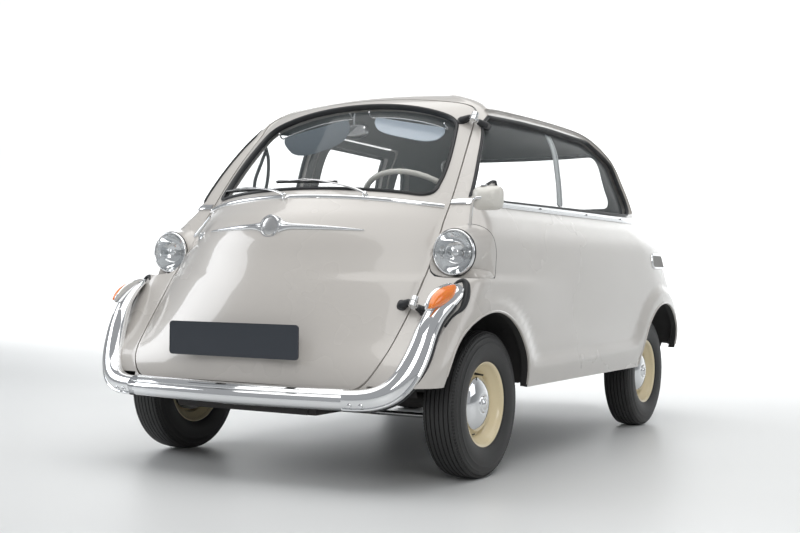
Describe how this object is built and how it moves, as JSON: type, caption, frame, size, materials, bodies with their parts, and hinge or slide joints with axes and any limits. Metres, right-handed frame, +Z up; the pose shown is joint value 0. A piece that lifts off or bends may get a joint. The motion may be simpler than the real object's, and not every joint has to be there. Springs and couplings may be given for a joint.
{
  "type": "bubble car",
  "caption": "Four-seat bubble car with a front-opening door that carries the windscreen and steering wheel, one side door, a rear engine lid and steered front wheels.",
  "frame": {"origin": "on the ground under the middle of the car's length and width", "axes": "-Y towards the car's front, +X towards its left side, +Z up"},
  "size_m": [1.4619, 2.8998, 1.375],
  "materials": {
    "paint": "gloss",
    "chrome": "polished",
    "window_glass": "clear",
    "lamp_glass": "ribbed",
    "amber_lens": "gloss",
    "red_lens": "gloss",
    "underbody": "satin",
    "steel": "satin",
    "engine_alloy": "cast",
    "exhaust_iron": "matt",
    "seat_fabric": "woven",
    "plate": "satin",
    "dash": "gloss",
    "ivory_plastic": "gloss",
    "tyre": "matt",
    "rim_paint": "gloss"
  },
  "bodies": {
    "car_body": {"body_shell": "paint", "cabin_shell": "paint", "wheel_wells": "underbody", "side_glass_left": "window_glass", "side_glass_right": "window_glass", "rear_window": "window_glass", "floor_pan": "underbody", "rear_bulkhead": "underbody", "chassis_frame": "underbody", "front_axle_beam": "underbody", "rear_swing_arms": "underbody", "engine_block": "engine_alloy", "silencer": "exhaust_iron", "front_seat": "seat_fabric", "rear_seat": "seat_fabric", "front_bumper": "chrome", "rear_bumper": "chrome", "bumper_horns": "chrome", "headlamp_pods": "paint", "headlamp_rings": "chrome", "headlamp_lenses": "lamp_glass", "indicators": "amber_lens", "tail_lamps": "red_lens", "door_mirror": "ivory_plastic"},
    "front_door": {"front_door_panel": "paint", "windscreen": "window_glass", "number_plate": "plate", "front_badge": "chrome", "dash_and_column": "dash"},
    "steering_wheel": {"steering_wheel": "ivory_plastic"},
    "side_door": {"side_door_panel": "paint", "side_door_glass": "window_glass"},
    "engine_lid": {"engine_lid": "paint"},
    "knuckle_left": {"knuckle_left": "underbody"},
    "knuckle_right": {"knuckle_right": "underbody"},
    "tie_rod": {"tie_rod": "steel"},
    "wheel_front_left": {"tyre_front_left": "tyre", "rim_front_left": "rim_paint", "hubcap_front_left": "chrome"},
    "wheel_front_right": {"tyre_front_right": "tyre", "rim_front_right": "rim_paint", "hubcap_front_right": "chrome"},
    "wheel_rear_left": {"tyre_rear_left": "tyre", "rim_rear_left": "rim_paint", "hubcap_rear_left": "chrome"},
    "wheel_rear_right": {"tyre_rear_right": "tyre", "rim_rear_right": "rim_paint", "hubcap_rear_right": "chrome"}
  },
  "joints": [
    {"name": "front_door_hinge", "type": "hinge", "parent": "car_body", "child": "front_door", "pos_m": [0.548, -1.186, 0.583], "axis": [-0.0736, 0.6337, 0.7701], "range_deg": [0, 85]},
    {"name": "side_door_hinge", "type": "hinge", "parent": "car_body", "child": "side_door", "pos_m": [-0.708, -0.17, 0.48], "axis": [0.0437, 0, 0.999], "range_deg": [0, 65]},
    {"name": "engine_lid_hinge", "type": "hinge", "parent": "car_body", "child": "engine_lid", "pos_m": [0, 1.082, 0.89], "axis": [1, 0, 0], "range_deg": [0, 65]},
    {"name": "steer_left", "type": "hinge", "parent": "car_body", "child": "knuckle_left", "pos_m": [0.5, -0.9, 0.244], "axis": [0, 0, 1], "range_deg": [-30, 30]},
    {"name": "steer_right", "type": "hinge", "parent": "car_body", "child": "knuckle_right", "pos_m": [-0.5, -0.9, 0.244], "axis": [0, 0, 1], "range_deg": [-31, 31]},
    {"name": "tie_rod_slide", "type": "slide", "parent": "car_body", "child": "tie_rod", "axis": [1, 0, 0], "range_m": [-0.066, 0.066]},
    {"name": "steering_wheel_turn", "type": "hinge", "parent": "front_door", "child": "steering_wheel", "pos_m": [0.245, -0.63, 0.905], "axis": [0, 0.6428, 0.766], "range_deg": [-361, 361]},
    {"name": "spin_front_left", "type": "hinge", "parent": "knuckle_left", "child": "wheel_front_left", "pos_m": [0.61, -0.9, 0.244], "axis": [1, 0, 0], "continuous": true},
    {"name": "spin_front_right", "type": "hinge", "parent": "knuckle_right", "child": "wheel_front_right", "pos_m": [-0.61, -0.9, 0.244], "axis": [1, 0, 0], "continuous": true},
    {"name": "spin_rear_left", "type": "hinge", "parent": "car_body", "child": "wheel_rear_left", "pos_m": [0.58, 0.8, 0.244], "axis": [1, 0, 0], "continuous": true},
    {"name": "spin_rear_right", "type": "hinge", "parent": "car_body", "child": "wheel_rear_right", "pos_m": [-0.58, 0.8, 0.244], "axis": [1, 0, 0], "continuous": true}
  ],
  "couplings": [
    {"joint": "steer_right", "follows": "steer_left", "ratio": 1},
    {"joint": "tie_rod_slide", "follows": "steer_left", "m_per_rad": -0.12},
    {"joint": "steering_wheel_turn", "follows": "steer_left", "ratio": 12}
  ]
}
